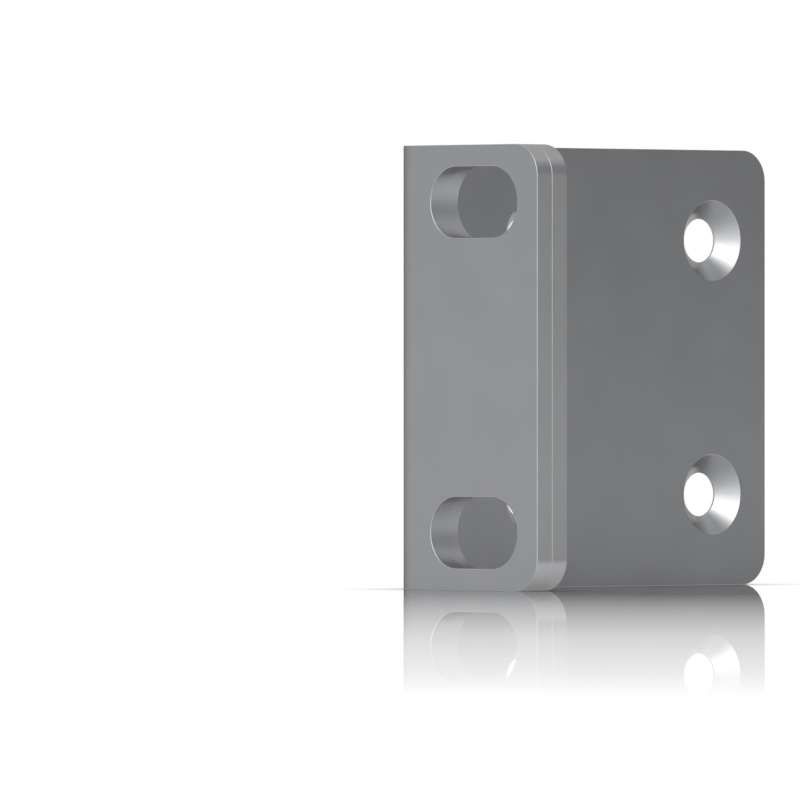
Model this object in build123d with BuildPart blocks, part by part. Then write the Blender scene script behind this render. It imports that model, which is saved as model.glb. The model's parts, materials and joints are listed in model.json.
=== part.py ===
from build123d import *
import os

os.makedirs("parts", exist_ok=True)

# Rack mount ear for a one-unit chassis: a folded sheet ear whose flange is doubled by a second plate.
# X runs across the rack from the chassis to the free edge of the flange, Y runs back along the
# side of the chassis, and Z is up. The ear stands on its lower cut edge, and the origin is the
# middle of its footprint. It is the same about its mid-height, so it serves either side.

# ---- Folded ear, mm ----
ear_height = 42.8               # one rack unit of 44.45 less its clearance
flange_width = 19.65            # chassis face to free edge
web_length = 49.0               # front face of the flange to the rear edge of the web
sheet_thickness = 2.0
bend_inner_radius = 0.15
corner_radius = 3.05            # rounded corners of the flange, the web and the doubler
edge_break = 0.12               # chamfer that tumbling leaves on the cut edges of both pieces

# ---- Flange doubler ----
doubler_thickness = 2.0
doubler_end_clearance = 0.1     # doubler to the inside of the bend
doubler_slot_step = 0.3         # how far its slots stand back from the ear's slots, all round

# ---- Slots for the rack screws ----
slot_length = 11.85
slot_height = 6.85
slot_margin = 2.1               # sheet left above the upper slot and below the lower one
slot_edge_distance = 8.7        # slot centre to the free edge of the flange

# ---- Countersunk holes for the chassis screws ----
hole_diameter = 4.3
sink_diameter = 7.9
sink_angle = 90
hole_setback = 17.1             # front face of the flange to the front holes
hole_spacing_along = 24.5
hole_spacing_up = 25.0

# ---- Places that follow from the sizes ----
chassis_face_x = -flange_width / 2
free_edge_x = flange_width / 2
front_face_y = -web_length / 2
rear_edge_y = web_length / 2
mid_height = ear_height / 2
bend_outer_radius = bend_inner_radius + sheet_thickness
slot_x = free_edge_x - slot_edge_distance
slot_pitch = ear_height - slot_height - 2 * slot_margin     # 31.75 on a one-unit ear
doubler_start_x = chassis_face_x + bend_outer_radius + doubler_end_clearance
doubler_width = free_edge_x - doubler_start_x
hole_row_y = front_face_y + hole_setback + hole_spacing_along / 2


def runs_through(thickness):
    """Picks the short edges that cross a sheet from face to face."""
    return lambda edge: abs(edge.length - thickness) < 1e-4


# ---- The ear: one sheet folded square, with the flange in front and the web along the chassis ----
with BuildPart() as folded_ear:
    with BuildSketch():
        with BuildLine():
            Polyline(
                (free_edge_x, front_face_y),
                (chassis_face_x, front_face_y),
                (chassis_face_x, rear_edge_y),
                (chassis_face_x + sheet_thickness, rear_edge_y),
                (chassis_face_x + sheet_thickness, front_face_y + sheet_thickness),
                (free_edge_x, front_face_y + sheet_thickness),
                close=True,
            )
        section = make_face()
        near_bend = section.vertices().sort_by_distance((chassis_face_x, front_face_y))
        fillet(near_bend[0], radius=bend_outer_radius)
        fillet(near_bend[1], radius=bend_inner_radius)
    extrude(amount=ear_height)

    flange_corners = folded_ear.edges().filter_by(Axis.Y).group_by(Axis.X)[-1]
    fillet(flange_corners, radius=corner_radius)
    web_corners = folded_ear.edges().filter_by(Axis.X).group_by(Axis.Y)[-1]
    fillet(web_corners, radius=corner_radius)

    with BuildSketch(Plane.XZ.offset(-front_face_y)):
        with Locations((slot_x, mid_height)):
            with GridLocations(0, slot_pitch, 1, 2):
                SlotOverall(slot_length, slot_height)
    extrude(amount=-sheet_thickness, mode=Mode.SUBTRACT)

    outer_corner = (chassis_face_x, front_face_y, mid_height)
    bend_lines = folded_ear.edges().filter_by(Axis.Z).sort_by_distance(outer_corner)[:4]
    crossing = folded_ear.edges().filter_by(runs_through(sheet_thickness))
    chamfer(folded_ear.edges() - crossing - bend_lines, length=edge_break)

    web_face = Plane(
        origin=(chassis_face_x + sheet_thickness, hole_row_y, mid_height),
        x_dir=(0, 1, 0),
        z_dir=(1, 0, 0),
    )
    with Locations(web_face):
        with GridLocations(hole_spacing_along, hole_spacing_up, 2, 2):
            CounterSinkHole(
                radius=hole_diameter / 2,
                counter_sink_radius=sink_diameter / 2,
                depth=sheet_thickness,
                counter_sink_angle=sink_angle,
            )

# ---- The doubler: a flat plate behind the flange, flush with its top, bottom and free edge ----
with BuildPart() as flange_doubler:
    with BuildSketch(Plane.XZ.offset(-front_face_y - sheet_thickness)):
        with Locations((free_edge_x - doubler_width / 2, mid_height)):
            plate = Rectangle(doubler_width, ear_height)
        fillet(plate.vertices().group_by(Axis.X)[-1], radius=corner_radius)
        with Locations((slot_x, mid_height)):
            with GridLocations(0, slot_pitch, 1, 2):
                SlotOverall(
                    slot_length + 2 * doubler_slot_step,
                    slot_height + 2 * doubler_slot_step,
                    mode=Mode.SUBTRACT,
                )
    extrude(amount=-doubler_thickness)

    crossing = flange_doubler.edges().filter_by(runs_through(doubler_thickness))
    chamfer(flange_doubler.edges() - crossing, length=edge_break)

folded_ear.part.label = "folded_ear"
export_step(folded_ear.part, "parts/folded_ear.step")

flange_doubler.part.label = "flange_doubler"
export_step(flange_doubler.part, "parts/flange_doubler.step")
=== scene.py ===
import json
import math

import bmesh
import bpy
import numpy as np
from mathutils import Matrix, Vector


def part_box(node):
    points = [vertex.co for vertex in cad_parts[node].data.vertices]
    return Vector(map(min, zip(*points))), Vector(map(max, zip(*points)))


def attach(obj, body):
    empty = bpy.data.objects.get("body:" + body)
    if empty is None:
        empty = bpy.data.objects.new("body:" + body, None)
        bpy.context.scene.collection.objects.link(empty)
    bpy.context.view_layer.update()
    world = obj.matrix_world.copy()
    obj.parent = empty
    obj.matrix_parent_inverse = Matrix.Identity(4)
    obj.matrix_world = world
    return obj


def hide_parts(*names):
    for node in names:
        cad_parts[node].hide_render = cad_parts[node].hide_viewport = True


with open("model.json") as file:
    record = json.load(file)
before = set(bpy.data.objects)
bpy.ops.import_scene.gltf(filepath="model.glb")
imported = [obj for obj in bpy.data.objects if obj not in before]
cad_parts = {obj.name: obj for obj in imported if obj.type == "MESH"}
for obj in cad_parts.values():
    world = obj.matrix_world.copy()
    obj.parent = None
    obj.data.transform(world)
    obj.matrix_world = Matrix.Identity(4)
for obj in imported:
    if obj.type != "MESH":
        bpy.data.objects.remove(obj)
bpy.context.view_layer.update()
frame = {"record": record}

# ---- Camera ----
# A long lens held level at half the ear's height, 1.4 m from the fold, with the flange running away
# to the left and the web to the right at about 45 degrees each.
mm = 0.001
ear_low, ear_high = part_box("folded_ear")
ear_height = ear_high.z
mid_height = ear_height / 2
view_turn = math.radians(45.93)
view_distance = 1395.3 * mm
fold_offset = 0.55 * mm

toward_camera = Vector((math.sin(view_turn), -math.cos(view_turn), 0))
camera_right = Vector((math.cos(view_turn), math.sin(view_turn), 0))
fold_corner = Vector((ear_low.x, ear_low.y, mid_height))

camera_data = bpy.data.cameras.new("camera")
camera_data.sensor_width = 36
camera_data.lens = 650.5
camera_data.shift_y = -0.0406
camera_data.clip_start = 0.05
camera_data.clip_end = 20
camera = bpy.data.objects.new("camera", camera_data)
camera.location = fold_corner + camera_right * fold_offset + toward_camera * view_distance
camera.rotation_euler = (math.radians(90), 0, view_turn)
bpy.context.scene.collection.objects.link(camera)
bpy.context.scene.camera = camera
bpy.context.scene.view_settings.view_transform = "Standard"


# ---- Floor ----
# A sheet of white gloss acrylic laid on a table. Looked down on, it is a pale matt grey, and a
# painted sheen in its colour lightens it as the eye comes down towards its surface. Seen along its
# surface it turns white and mirrors the ear, and the mirror image fades out half a metre away. Close
# round the ear's foot, a painted contact shadow darkens that white and the mirror image.
def linked(obj_name, data):
    """Puts mesh data into the scene on an object at the origin."""
    obj = bpy.data.objects.new(obj_name, data)
    bpy.context.scene.collection.objects.link(obj)
    return obj


def node_maker(tree):
    """Empties a node tree and returns the function that adds nodes to it.

    Its named inputs are sockets, with _ for a space, and _0 and _1 are sockets by their number. Each
    takes a value, or the output of another node.
    """
    tree.nodes.clear()

    def add(kind, settings=None, **inputs):
        node = tree.nodes.new(kind)
        for key, value in (settings or {}).items():
            setattr(node, key, value)
        for key, value in inputs.items():
            socket = node.inputs[int(key[1:]) if key[1:].isdigit() else key.replace("_", " ")]
            if isinstance(value, bpy.types.NodeSocket):
                tree.links.new(value, socket)
            else:
                socket.default_value = value
        return node

    return add


def new_finish(name):
    """A new material, and the function that adds nodes to it."""
    material = bpy.data.materials.new(name)
    material.use_nodes = True
    return material, node_maker(material.node_tree)


# The mirror image is whole close to the ear, and further out these shares of it are left.
floor_half = 8.0
full_mirror = 0.04
mirror_fading = ((0.115, 0.78), (0.255, 0.415), (0.385, 0.22))
mirror_end = 0.47
gloss_starts = 0.74
gloss_full = 0.82
acrylic_ior = 1.5
# Painted sheen: the floor's colour goes from white_from_above, looked down on, to white_from_side at
# side_on.
side_on = 0.8
white_from_above = 0.58
white_from_side = 0.93
haze = 1.01
shadow_fill = 0.5
# How far the painted contact shadow reaches out from the ear's foot.
contact_reach = 8 * mm

acrylic, add = new_finish("white_acrylic")
place = add("ShaderNodeTexCoord")
from_ear = add("ShaderNodeVectorMath", {"operation": "LENGTH"}, _0=place.outputs["Object"])
reach = add("ShaderNodeMath", {"operation": "DIVIDE"}, _0=from_ear.outputs["Value"], _1=mirror_end)
mirror_share = add("ShaderNodeValToRGB", Fac=reach.outputs[0])
stops = mirror_share.color_ramp.elements
stops[0].position = full_mirror / mirror_end
stops[0].color = (1, 1, 1, 1)
stops[1].position = 1.0
stops[1].color = (0, 0, 0, 1)
for distance, share in mirror_fading:
    stops.new(distance / mirror_end).color = (share, share, share, 1)

fresnel = add("ShaderNodeFresnel", IOR=acrylic_ior)
facing = add("ShaderNodeLayerWeight", Blend=0.5)
grazing = add("ShaderNodeMapRange", Value=fresnel.outputs[0],
              From_Min=gloss_starts, From_Max=gloss_full, To_Min=0.0, To_Max=1.0)
# Painted sheen: the floor's colour is lighter the more the eye looks along its surface.
painted_sheen = add("ShaderNodeMapRange", Value=facing.outputs["Facing"],
            From_Min=0.0, From_Max=side_on, To_Min=white_from_above, To_Max=white_from_side)
# Painted contact shadow: an occlusion tone that darkens the floor's white and its mirror image near
# the ear.
painted_contact_shade = add("ShaderNodeAmbientOcclusion", {"samples": 16},
                 Color=(1, 1, 1, 1), Distance=contact_reach)
lit = add("ShaderNodeBsdfDiffuse", Color=painted_sheen.outputs[0])
even = add("ShaderNodeEmission", Color=painted_sheen.outputs[0], Strength=1.0)
body = add("ShaderNodeMixShader", _0=shadow_fill, _1=lit.outputs[0], _2=even.outputs[0])
# The floor's white beyond the mirror image and the mirror image itself, both darkened by the painted
# contact shadow.
glare = add("ShaderNodeEmission", Color=painted_contact_shade.outputs["Color"], Strength=haze)
gloss = add("ShaderNodeBsdfGlossy", Color=(1, 1, 1, 1), Roughness=0.0)
mirror = add("ShaderNodeBsdfGlossy", Color=painted_contact_shade.outputs["Color"], Roughness=0.0)
steep = add("ShaderNodeMixShader",
            _0=fresnel.outputs[0], _1=body.outputs[0], _2=gloss.outputs[0])
low = add("ShaderNodeMixShader",
          _0=mirror_share.outputs[0], _1=glare.outputs[0], _2=mirror.outputs[0])
sheet = add("ShaderNodeMixShader",
            _0=grazing.outputs[0], _1=steep.outputs[0], _2=low.outputs[0])
add("ShaderNodeOutputMaterial", Surface=sheet.outputs[0])

floor_mesh = bpy.data.meshes.new("floor")
floor_mesh.from_pydata(
    [(-floor_half, -floor_half, 0), (floor_half, -floor_half, 0),
     (floor_half, floor_half, 0), (-floor_half, floor_half, 0)],
    [], [(0, 1, 2, 3)],
)
floor_mesh.materials.append(acrylic)
floor = linked("floor", floor_mesh)

# ---- Studio ----
# A white room. Two wide curved soft boxes, one above the other behind the camera, glow most at their
# middle. Duller cloths hang round the rest for the steel to mirror. The camera sees none of them.
world = bpy.data.worlds.new("white_room")
bpy.context.scene.world = world
world.use_nodes = True
add = node_maker(world.node_tree)
background = add("ShaderNodeBackground", Color=(1, 1, 1, 1), Strength=1.0)
add("ShaderNodeOutputWorld", Surface=background.outputs[0])

glowing_cloth, add = new_finish("glowing_cloth")
glow = add("ShaderNodeAttribute", {"attribute_name": "glow"})
lamp = add("ShaderNodeEmission", Color=(1, 1, 1, 1), Strength=glow.outputs["Fac"])
add("ShaderNodeOutputMaterial", Surface=lamp.outputs[0])

cloth_distance = 1.2
cloth_columns = 48
cloth_rows = 8


def hung_cloth(name, low, high, glows):
    """A cloth curved round the ear, from low to high in degrees above the floor.

    glows pairs bearings, in degrees to the right of the camera, with the brightness there.
    """
    bearings, levels = zip(*glows)
    points, shades = [], []
    for bearing in np.linspace(bearings[0], bearings[-1], cloth_columns + 1):
        turn = math.radians(bearing)
        level = toward_camera * math.cos(turn) + camera_right * math.sin(turn)
        for tilt in np.radians(np.linspace(low, high, cloth_rows + 1)):
            way = level * math.cos(tilt) + Vector((0, 0, math.sin(tilt)))
            points.append(way * cloth_distance)
            shades.append(np.interp(bearing, bearings, levels))
    faces = []
    for column in range(cloth_columns):
        for row in range(cloth_rows):
            corner = column * (cloth_rows + 1) + row
            faces.append((corner, corner + cloth_rows + 1, corner + cloth_rows + 2, corner + 1))
    mesh = bpy.data.meshes.new(name)
    mesh.from_pydata(points, [], faces)
    mesh.attributes.new("glow", "FLOAT", "POINT").data.foreach_set("value", shades)
    mesh.materials.append(glowing_cloth)
    cloth = linked(name, mesh)
    cloth.visible_camera = False


hung_cloth("soft_box", 2, 20, [
    (-70, 0.9), (-60, 1.2), (-45, 1.6), (-25, 2.2), (0, 2.3),
    (25, 2.2), (45, 1.6), (60, 1.0), (70, 0.5),
])
hung_cloth("high_soft_box", 20, 59, [
    (-70, 0.9), (-45, 1.8), (-25, 2.8), (0, 3.5),
    (25, 2.8), (45, 1.7), (60, 1.0), (70, 0.5),
])
hung_cloth("left_cloth", 0, 45, [(-165, 0.62), (-110, 0.74), (-92, 0.77), (-70, 0.9)])
hung_cloth("right_cloth", 0, 27, [(70, 0.5), (92, 0.325), (115, 0.325), (125, 0.5)])
hung_cloth("high_right_cloth", 27, 36, [(70, 0.5), (125, 0.5)])
hung_cloth("upper_right_cloth", 36, 52, [(70, 0.6), (125, 0.75)])
hung_cloth("back_cloth", 2.5, 14, [(125, 0.5), (195, 0.5)])
hung_cloth("high_back_cloth", 14, 60, [(125, 0.7), (195, 0.7)])
hung_cloth("ceiling_cloth", 52, 75, [(60, 0.52), (125, 0.56)])

# ---- Folded ear ----
# One 2 mm sheet of steel, zinc plated. The blank is sheared with rounded corners, its slots are
# punched, its holes are drilled and countersunk, its edges are broken, and it is folded square.
doubler_low, doubler_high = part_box("flange_doubler")
mounts = {mount["name"]: mount for mount in frame["record"]["mounts"]}
chassis_holes = mounts["chassis_holes"]
sheet_thickness = doubler_low.y - ear_low.y
bend_clearance = 0.1 * mm
bend_radius = doubler_low.x - ear_low.x - bend_clearance
bend_steps = 16
corner_radius = 3.05 * mm
corner_steps = 12
edge_radius = 0.045 * mm
edge_steps = 4
slot_edge_radius = 0.07 * mm
slot_length = 11.85 * mm
slot_height = 6.85 * mm
slot_margin = 2.1 * mm
slot_pitch = ear_height - slot_height - 2 * slot_margin
hole_radius = chassis_holes["dims"]["hole_r_mm"] * mm
sink_radius = 3.95 * mm
sink_rim = 0.03 * mm
round_steps = 16
rim_drop = 0.4 * sink_rim
tool_overrun = 1 * mm
weld_distance = 1e-7

fold_x = ear_low.x + bend_radius
fold_length = bend_radius * math.pi / 2
web_run = ear_high.y - ear_low.y - bend_radius
blank_length = ear_high.x - fold_x + fold_length + web_run

grain_scale = 9000.0
grain_height = 0.01 * mm
grain_strength = 0.15
cloud_scale = 160.0
cloud_low = 0.3
cloud_high = 0.7
rough_swing = 0.06
tone_swing = 0.015


def plated(name, colour, roughness, rim):
    """Zinc plate with a fine grain and a faint cloudiness.

    rim is how bright it stays where it is seen along its surface.
    """
    material, add = new_finish(name)
    place = add("ShaderNodeTexCoord")
    grain = add("ShaderNodeTexNoise", Vector=place.outputs["Object"], Scale=grain_scale, Detail=2.0)
    bump = add("ShaderNodeBump", Height=grain.outputs["Fac"],
               Strength=grain_strength, Distance=grain_height)
    cloud = add("ShaderNodeTexNoise", Vector=place.outputs["Object"], Scale=cloud_scale, Detail=3.0)
    rough = add("ShaderNodeMapRange", Value=cloud.outputs["Fac"],
                From_Min=cloud_low, From_Max=cloud_high,
                To_Min=roughness * (1 - rough_swing), To_Max=roughness * (1 + rough_swing))
    tone = add("ShaderNodeMapRange", Value=cloud.outputs["Fac"],
               From_Min=cloud_low, From_Max=cloud_high, To_Min=1 - tone_swing, To_Max=1 + tone_swing)
    base = add("ShaderNodeVectorMath", {"operation": "SCALE"}, _0=colour, Scale=tone.outputs[0])
    shader = add("ShaderNodeBsdfPrincipled", Metallic=1.0, Specular_Tint=(rim, rim, rim, 1),
                 Base_Color=base.outputs[0], Roughness=rough.outputs[0], Normal=bump.outputs[0])
    add("ShaderNodeOutputMaterial", Surface=shader.outputs[0])
    return material


rolled_steel = plated("rolled_steel", (0.338, 0.343, 0.352), 0.24, 0.5)
bent_steel = plated("bent_steel", (0.322, 0.327, 0.336), 0.27, 0.5)
sheared_steel = plated("sheared_steel", (0.447, 0.452, 0.460), 0.25, 0.8)
punched_steel = plated("punched_steel", (0.42, 0.425, 0.435), 0.42, 0.6)
countersunk_steel = plated("countersunk_steel", (0.405, 0.41, 0.418), 0.29, 0.8)


def rounded_ring(width, height, radii, outset, depth, steps):
    """Points round a rectangle with rounded corners, grown by outset, at a depth behind its face."""
    points = []
    for corner, radius in enumerate(radii):
        side_x, side_z = ((1, 1), (-1, 1), (-1, -1), (1, -1))[corner]
        for step in range(steps + 1):
            angle = math.radians(90) * (corner + step / steps)
            points.append((
                side_x * (width / 2 - radius) + (radius + outset) * math.cos(angle),
                depth,
                side_z * (height / 2 - radius) + (radius + outset) * math.sin(angle),
            ))
    return points


def broken_edge(thickness, radius):
    """How far a sheet's edge stands back from its outline, and at what depth, from face to face."""
    turns = [math.radians(90) * step / edge_steps for step in range(edge_steps + 1)]
    front = [(radius * (1 - math.sin(turn)), radius * (1 - math.cos(turn))) for turn in turns]
    return front + [(back, thickness - depth) for back, depth in reversed(front)]


def stacked(name, rings):
    """A closed solid through a stack of rings. Its sides take the second finish it is given."""
    shape = bmesh.new()
    loops = [[shape.verts.new(point) for point in ring] for ring in rings]
    for near, far in zip(loops, loops[1:]):
        for k, (a, b) in enumerate(zip(near, far)):
            ahead = (k + 1) % len(near)
            shape.faces.new((a, near[ahead], far[ahead], b)).material_index = 1
    shape.faces.new(loops[0])
    shape.faces.new(loops[-1])
    bmesh.ops.remove_doubles(shape, verts=shape.verts, dist=weld_distance)
    bmesh.ops.recalc_face_normals(shape, faces=shape.faces)
    mesh = bpy.data.meshes.new(name)
    shape.to_mesh(mesh)
    shape.free()
    return linked(name, mesh)


def sheared_blank(name, low_x, front_y, width, radii, thickness):
    """A flat sheet with rounded corners and broken edges, standing upright, front face first."""
    blank = stacked(name, [rounded_ring(width, ear_height, radii, -back, depth, corner_steps)
                           for back, depth in broken_edge(thickness, edge_radius)])
    blank.data.transform(Matrix.Translation((low_x + width / 2, front_y, mid_height)))
    blank.data.materials.append(rolled_steel)
    blank.data.materials.append(sheared_steel)
    return blank


def slot_punch(name, length, height, thickness):
    """What a punched slot takes out of a sheet, with its edges broken at both faces."""
    profile = broken_edge(thickness, slot_edge_radius)
    profile = ([(slot_edge_radius, -tool_overrun)] + profile
               + [(slot_edge_radius, thickness + tool_overrun)])
    return stacked(name, [rounded_ring(length, height, [height / 2] * 4, out, depth, round_steps)
                          for out, depth in profile])


def named_inputs(tree, sockets):
    """Gives a tree its inputs, by name and kind, and the worked sheet as its output."""
    tree.is_modifier = True
    for name, kind in sockets:
        tree.interface.new_socket(name, in_out="INPUT", socket_type="NodeSocket" + kind)
    tree.interface.new_socket("Sheet", in_out="OUTPUT", socket_type="NodeSocketGeometry")


def maths(operation, first, second=0.0, clamp=False):
    """Adds one step of reckoning to the tree in hand, and returns its result."""
    return add("ShaderNodeMath", {"operation": operation, "use_clamp": clamp},
               _0=first, _1=second).outputs[0]


# The punch or drill is set on a grid of points, and all its strokes are taken out of the flat sheet
# at once. The faces that it leaves carry the mark Cut, and get the finish of a cut.
pierce_in_rows = bpy.data.node_groups.new("Pierce in rows", "GeometryNodeTree")
named_inputs(pierce_in_rows, [
    ("Sheet", "Geometry"), ("Tool", "Object"), ("Columns", "Int"), ("Rows", "Int"),
    ("Column Spacing", "Float"), ("Row Spacing", "Float"), ("Place", "Vector"),
    ("Cut Finish", "Material"),
])
add = node_maker(pierce_in_rows)
given = add("NodeGroupInput").outputs
tool = add("GeometryNodeObjectInfo", Object=given["Tool"])
marked = add("GeometryNodeCaptureAttribute", {"domain": "FACE"}, Geometry=tool.outputs["Geometry"])
marked.capture_items.new("BOOLEAN", "Cut")
marked.inputs["Cut"].default_value = True
columns_apart = maths("MULTIPLY", maths("SUBTRACT", given["Columns"], 1.0), given["Column Spacing"])
rows_apart = maths("MULTIPLY", maths("SUBTRACT", given["Rows"], 1.0), given["Row Spacing"])
grid = add("GeometryNodeMeshGrid", Vertices_X=given["Columns"], Vertices_Y=given["Rows"],
           Size_X=columns_apart, Size_Y=rows_apart)
upright = add("GeometryNodeTransform", Geometry=grid.outputs["Mesh"], Translation=given["Place"],
              Rotation=(math.radians(90), 0, 0))
strokes = add("GeometryNodeInstanceOnPoints", Points=upright.outputs[0],
              Instance=marked.outputs["Geometry"])
pierced = add("GeometryNodeMeshBoolean", {"operation": "DIFFERENCE", "solver": "EXACT"},
              _0=given["Sheet"], _1=strokes.outputs[0])
whole = add("GeometryNodeRealizeInstances", Geometry=pierced.outputs["Mesh"])
cut_faces = add("GeometryNodeSetMaterial", Geometry=whole.outputs[0],
                Selection=marked.outputs["Cut"], Material=given["Cut Finish"])
add("NodeGroupOutput", Sheet=cut_faces.outputs[0])

# What lies past the start of the fold is rolled round the bend, and what lies past the bend swings
# with it. The fold keeps the length of the outer face, so the flat blank is as long as that face.
fold_square = bpy.data.node_groups.new("Fold square", "GeometryNodeTree")
named_inputs(fold_square, [
    ("Sheet", "Geometry"), ("Fold Start", "Vector"), ("Outside Radius", "Float"),
    ("Fold Angle", "Float"), ("Rolled Finish", "Material"), ("Bend Finish", "Material"),
])
add = node_maker(fold_square)
given = add("NodeGroupInput").outputs
here = add("ShaderNodeSeparateXYZ", Vector=add("GeometryNodeInputPosition").outputs[0]).outputs
start = add("ShaderNodeSeparateXYZ", Vector=given["Fold Start"]).outputs
past_fold = maths("SUBTRACT", start[0], here[0])
bend_run = maths("MULTIPLY", given["Outside Radius"], given["Fold Angle"])
in_bend = maths("MULTIPLY", maths("GREATER_THAN", past_fold, 0.0),
                maths("LESS_THAN", past_fold, bend_run))
rolled = add("GeometryNodeMaterialSelection", Material=given["Rolled Finish"])
marked = add("GeometryNodeCaptureAttribute", {"domain": "FACE"}, Geometry=given["Sheet"])
marked.capture_items.new("BOOLEAN", "Bent")
fold_square.links.new(maths("MULTIPLY", in_bend, rolled.outputs[0]), marked.inputs["Bent"])
turn = maths("MULTIPLY", maths("DIVIDE", past_fold, bend_run, clamp=True), given["Fold Angle"])
run_on = maths("MAXIMUM", maths("SUBTRACT", past_fold, bend_run), 0.0)
still_flat = maths("MAXIMUM", maths("MULTIPLY", past_fold, -1.0), 0.0)
radius = maths("SUBTRACT", given["Outside Radius"], maths("SUBTRACT", here[1], start[1]))
arm = add("ShaderNodeCombineXYZ",
          X=maths("MULTIPLY", run_on, -1.0), Y=maths("MULTIPLY", radius, -1.0))
swung = add("ShaderNodeVectorRotate", {"rotation_type": "Z_AXIS"}, Vector=arm.outputs[0],
            Angle=maths("MULTIPLY", turn, -1.0))
pivot = add("ShaderNodeCombineXYZ", X=maths("ADD", start[0], still_flat),
            Y=maths("ADD", start[1], given["Outside Radius"]), Z=here[2])
folded_place = add("ShaderNodeVectorMath", {"operation": "ADD"},
                   _0=pivot.outputs[0], _1=swung.outputs[0])
folded = add("GeometryNodeSetPosition", Geometry=marked.outputs["Geometry"],
             Position=folded_place.outputs[0])
whole = add("GeometryNodeRealizeInstances", Geometry=folded.outputs[0])
bent_faces = add("GeometryNodeSetMaterial", Geometry=whole.outputs[0],
                 Selection=marked.outputs["Bent"], Material=given["Bend Finish"])
add("NodeGroupOutput", Sheet=bent_faces.outputs[0])


def work(obj, step, tree, **inputs):
    """Adds one step of making to a sheet, and sets the named inputs of its tree."""
    modifier = obj.modifiers.new(step, "NODES")
    modifier.node_group = tree
    sockets = {item.name: item.identifier for item in tree.interface.items_tree
               if item.in_out == "INPUT"}
    for name, value in inputs.items():
        modifier[sockets[name.replace("_", " ")]] = value


crisp_angle = math.radians(35)


def finished(obj, name, tools):
    """The worked sheet as a plain mesh on a new object, smooth over rounds and crisp elsewhere.

    The tools that cut it are put away.
    """
    bpy.context.view_layer.update()
    worked = obj.evaluated_get(bpy.context.evaluated_depsgraph_get())
    mesh = bpy.data.meshes.new_from_object(worked)
    mesh.name = name
    mesh.shade_smooth()
    mesh.set_sharp_from_angle(angle=crisp_angle)
    for used in [obj] + tools:
        bpy.data.objects.remove(used)
    piece = linked(name, mesh)
    weighted = piece.modifiers.new("even_faces", "WEIGHTED_NORMAL")
    weighted.keep_sharp = True
    return piece


# Lines across the bend let the flat sheet curve evenly when it is folded.
blank = sheared_blank("ear_blank", ear_high.x - blank_length, ear_low.y, blank_length,
                      [corner_radius] * 4, sheet_thickness)
scored = bmesh.new()
scored.from_mesh(blank.data)
for step in range(bend_steps + 1):
    bmesh.ops.bisect_plane(
        scored, geom=scored.verts[:] + scored.edges[:] + scored.faces[:], dist=weld_distance,
        plane_co=(fold_x - fold_length * step / bend_steps, 0, 0), plane_no=(1, 0, 0))
scored.to_mesh(blank.data)
scored.free()

slot_place = Vector((mounts["rack_slots"]["pos_m"][0], ear_low.y, mid_height))
ear_punch = slot_punch("ear_punch", slot_length, slot_height, sheet_thickness)
work(blank, "slots", pierce_in_rows, Tool=ear_punch, Columns=1, Rows=2, Column_Spacing=0.0,
     Row_Spacing=slot_pitch, Place=slot_place, Cut_Finish=punched_steel)

sink_depth = sink_radius - hole_radius
drill_profile = [
    (0, -tool_overrun),
    (0, sheet_thickness - sink_depth),
    (sink_depth - sink_rim, sheet_thickness - sink_rim),
    (sink_depth, sheet_thickness - rim_drop),
    (sink_depth + sink_rim, sheet_thickness),
    (sink_depth + sink_rim, sheet_thickness + tool_overrun),
]
hole_width = 2 * hole_radius
drill = stacked("drill", [
    rounded_ring(hole_width, hole_width, [hole_radius] * 4, out, depth, round_steps)
    for out, depth in drill_profile])
hole_setback = chassis_holes["pos_m"][1] - ear_low.y
work(blank, "countersunk_holes", pierce_in_rows, Tool=drill, Columns=2, Rows=2,
     Column_Spacing=chassis_holes["dims"]["spacing_x_mm"] * mm,
     Row_Spacing=chassis_holes["dims"]["spacing_y_mm"] * mm,
     Place=(fold_x - fold_length - (hole_setback - bend_radius), ear_low.y, mid_height),
     Cut_Finish=countersunk_steel)

work(blank, "fold", fold_square, Fold_Start=(fold_x, ear_low.y, 0.0), Outside_Radius=bend_radius,
     Fold_Angle=math.radians(90), Rolled_Finish=rolled_steel, Bend_Finish=bent_steel)
ear = finished(blank, "ear_sheet", [ear_punch, drill])
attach(ear, "root")
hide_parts("folded_ear")

# ---- Flange doubler ----
# A flat plate of the same zinc plated sheet, laid on the back of the flange and spot welded there.
# It ends flush with the flange, just short of the bend, and its slots are a little larger.
doubler_thickness = doubler_high.y - doubler_low.y
doubler_width = doubler_high.x - doubler_low.x
slot_step = 0.3 * mm
bend_side_radius = 0.25 * mm

plate = sheared_blank("plate_blank", doubler_low.x, doubler_low.y, doubler_width,
                      [corner_radius, bend_side_radius, bend_side_radius, corner_radius],
                      doubler_thickness)
plate_punch = slot_punch("plate_punch", slot_length + 2 * slot_step, slot_height + 2 * slot_step,
                         doubler_thickness)
work(plate, "slots", pierce_in_rows, Tool=plate_punch, Columns=1, Rows=2, Column_Spacing=0.0,
     Row_Spacing=slot_pitch, Place=(slot_place.x, doubler_low.y, mid_height),
     Cut_Finish=punched_steel)
doubler = finished(plate, "doubler_plate", [plate_punch])
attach(doubler, "root")
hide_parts("flange_doubler")
